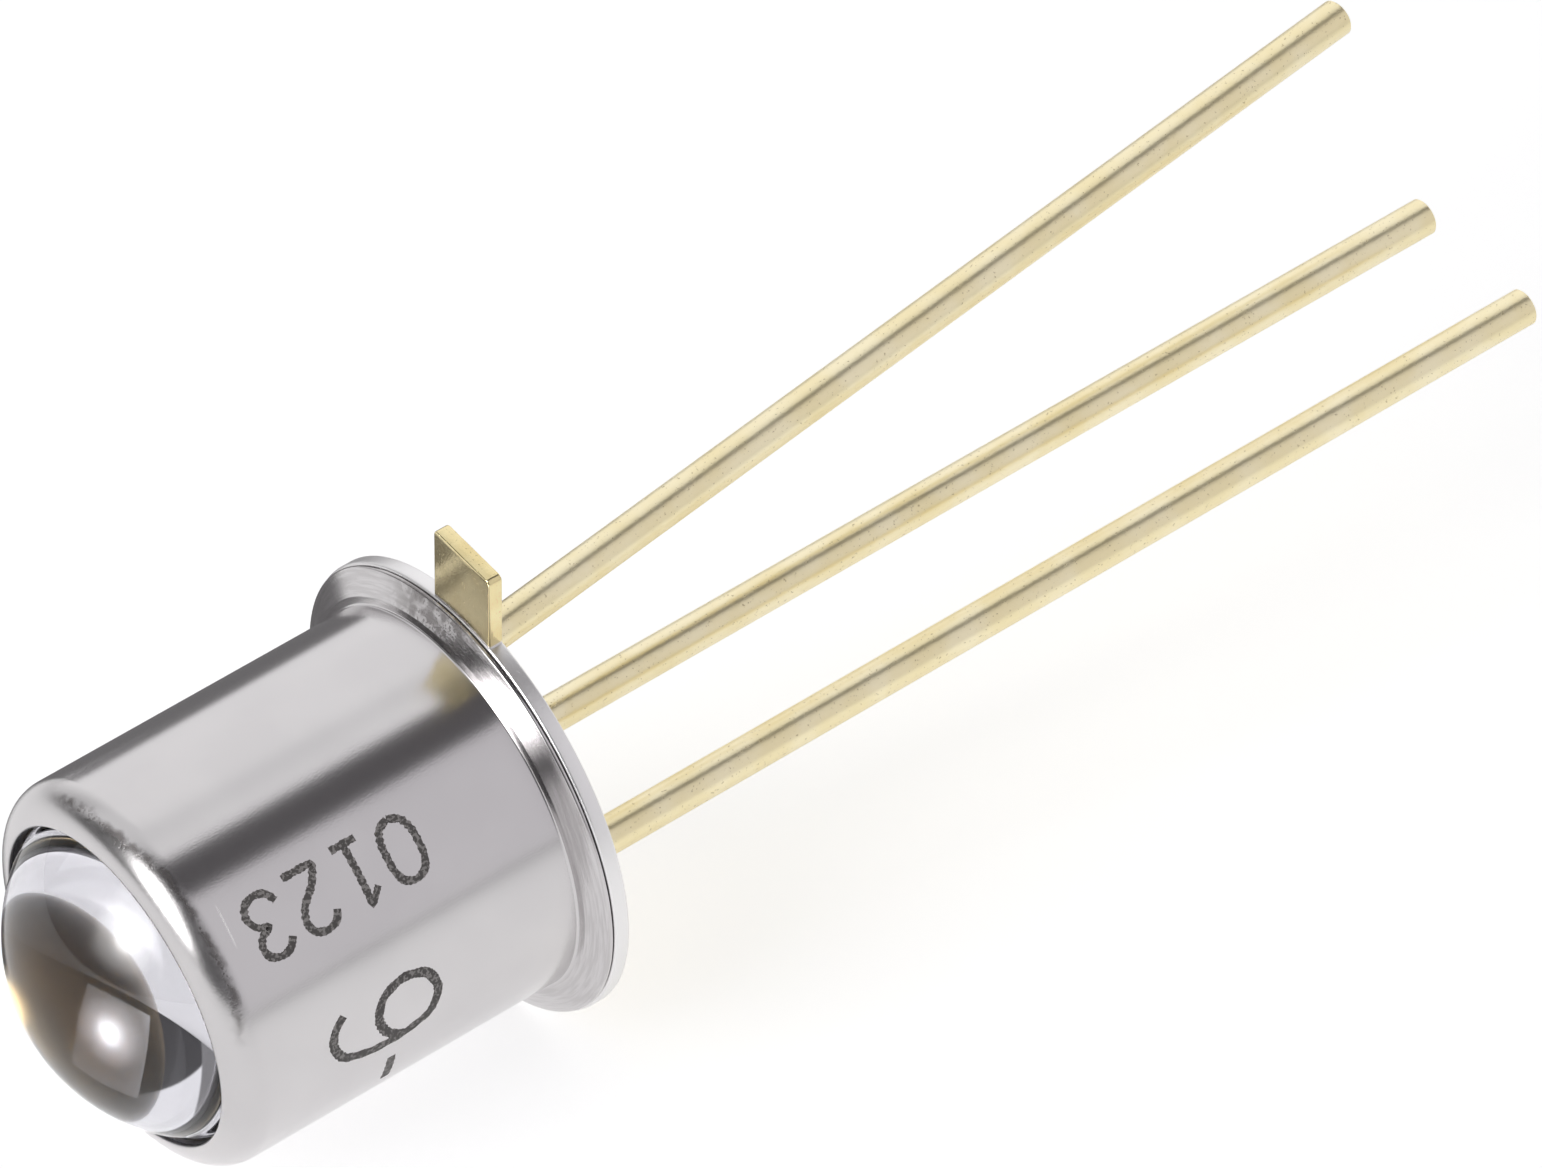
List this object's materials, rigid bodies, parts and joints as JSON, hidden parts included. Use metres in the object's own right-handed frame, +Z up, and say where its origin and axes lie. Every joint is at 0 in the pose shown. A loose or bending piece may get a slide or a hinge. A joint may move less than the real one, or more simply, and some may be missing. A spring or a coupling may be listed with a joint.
{
  "type": "metal-can phototransistor",
  "caption": "Small round metal-can phototransistor with a domed glass window, weld flange, side tab and gold-plated wire leads, lying on its side",
  "frame": {"origin": "on the surface that the part lies on, under the middle of its box", "axes": "+Z up; +X along the part towards the tips of the leads, with the glass window at -X; the can's axis lies in the XZ plane, nose down by about 5.6 degrees, and the tab points up"},
  "size_m": [0.0204, 0.0056, 0.0066],
  "materials": {
    "nickel_plate": "satin-bright nickel plate on drawn steel, with fine grain",
    "window_glass": "clear fire-polished glass fused into the can",
    "gold_plate": "pale gold plate on a stamped header",
    "lead_gold": "pale gold plate on drawn wire, with faint drawing lines",
    "seal_glass": "dark sealing glass",
    "silicon": "polished silicon with a thin metal pattern",
    "wire_gold": "bright drawn gold wire"
  },
  "bodies": {
    "root": {"can_shell": "nickel_plate", "glass_lens": "window_glass", "header": "gold_plate", "emitter_seal": "seal_glass", "base_seal": "seal_glass", "collector_braze": "gold_plate", "emitter_lead": "lead_gold", "base_lead": "lead_gold", "collector_lead": "lead_gold", "die_solder": "gold_plate", "sensor_chip": "silicon", "emitter_bond_wire": "wire_gold", "base_bond_wire": "wire_gold"}
  },
  "joints": []
}
